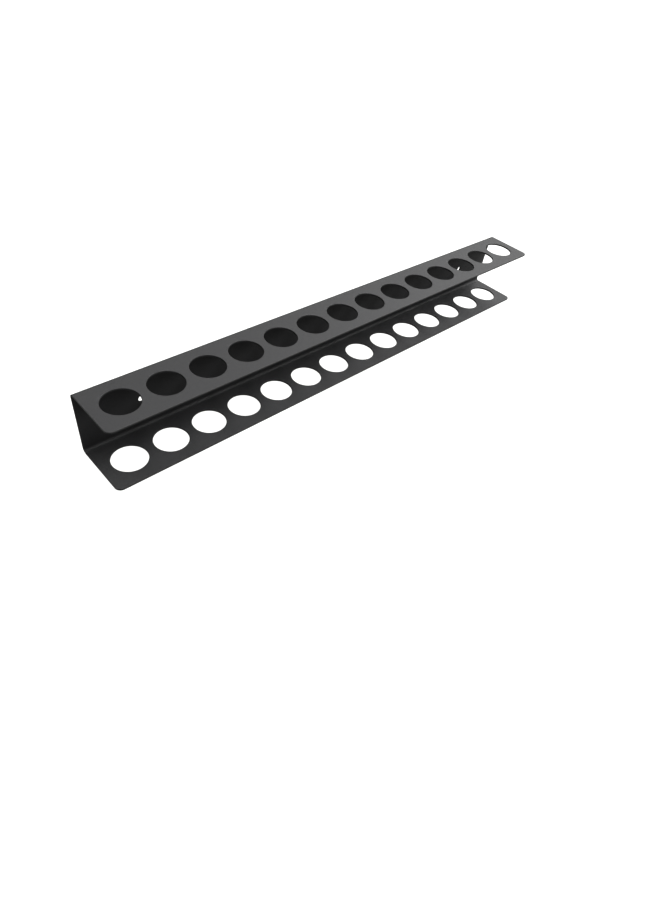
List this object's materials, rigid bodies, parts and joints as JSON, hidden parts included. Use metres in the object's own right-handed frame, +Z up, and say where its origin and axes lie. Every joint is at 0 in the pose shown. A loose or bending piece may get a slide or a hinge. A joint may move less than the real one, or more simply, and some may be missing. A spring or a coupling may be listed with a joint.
{
  "type": "screwdriver rack",
  "caption": "Long folded steel channel, open to the front, with a row of round tool holes in line through both flanges and screw holes in the web for hanging it on a wall.",
  "frame": {"origin": "middle of the footprint, on the underside of the base flange", "axes": "+X along the rack, +Y towards the wall, so the open front faces -Y, +Z up along the tool holes"},
  "size_m": [0.4, 0.04, 0.045],
  "materials": {
    "powder_coat": "matte"
  },
  "bodies": {
    "root": {"rack": "powder_coat"}
  },
  "joints": []
}
